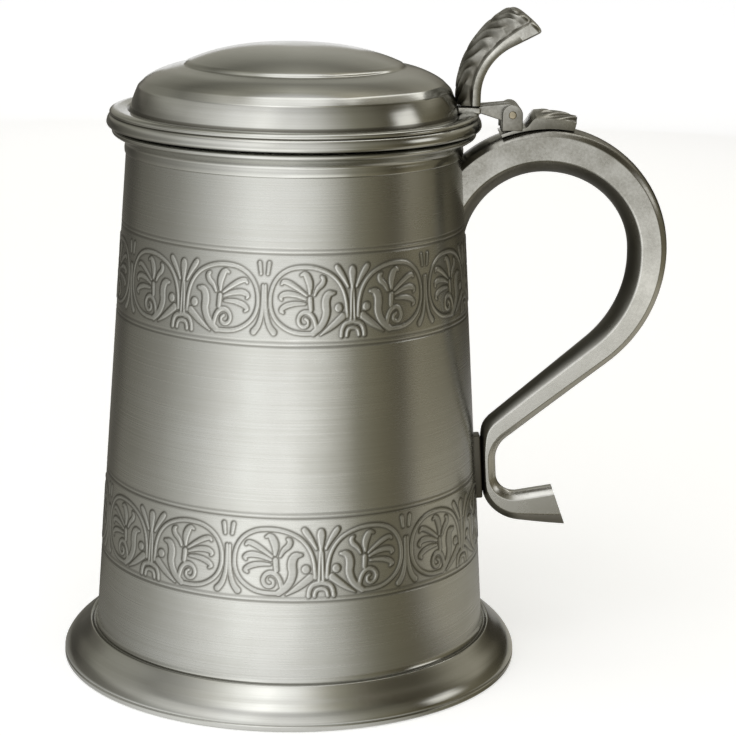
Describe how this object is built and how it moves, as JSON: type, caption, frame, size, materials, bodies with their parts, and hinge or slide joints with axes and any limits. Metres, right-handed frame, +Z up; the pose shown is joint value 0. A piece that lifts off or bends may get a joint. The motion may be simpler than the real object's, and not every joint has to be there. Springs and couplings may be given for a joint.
{
  "type": "lidded tankard",
  "caption": "Lidded drinking tankard: tapered drum with lined bands on a skirt foot, scroll handle, and a domed lid that swings on a barrel hinge when its leaf thumbpiece is pressed.",
  "frame": {"origin": "on the ground, below the middle of the whole object's box", "axes": "+Z up along the drum, +X towards the handle, +Y across the handle"},
  "size_m": [0.1376, 0.105, 0.1517],
  "materials": {
    "brushed_pewter": "satin, brushed round the drum",
    "lip_pewter": "turned, soft polish",
    "base_pewter": "satin",
    "foot_pewter": "turned, soft polish",
    "cast_pewter": "cast and rubbed satin",
    "solder": "dull solder",
    "strap_pewter": "cast relief, darkened hollows",
    "pin_brass": "plain drawn wire",
    "polished_pewter": "turned, soft polish",
    "bezel_pewter": "satin",
    "plate_pewter": "cast satin",
    "leaf_pewter": "cast relief, darkened hollows"
  },
  "bodies": {
    "vessel": {"drum": "brushed_pewter", "lip_ring": "lip_pewter", "base_disc": "base_pewter", "foot_ring": "foot_pewter", "handle": "cast_pewter", "handle_pad": "solder", "hinge_strap": "strap_pewter", "hinge_pin": "pin_brass"},
    "lid": {"lid_cover": "polished_pewter", "lid_bezel": "bezel_pewter", "lid_hinge_plate": "plate_pewter", "thumbpiece": "leaf_pewter"}
  },
  "joints": [
    {"name": "lid_hinge", "type": "hinge", "parent": "vessel", "child": "lid", "pos_m": [0.03222, 0, 0.1275], "axis": [0, 1, 0], "range_deg": [0, 84]}
  ]
}
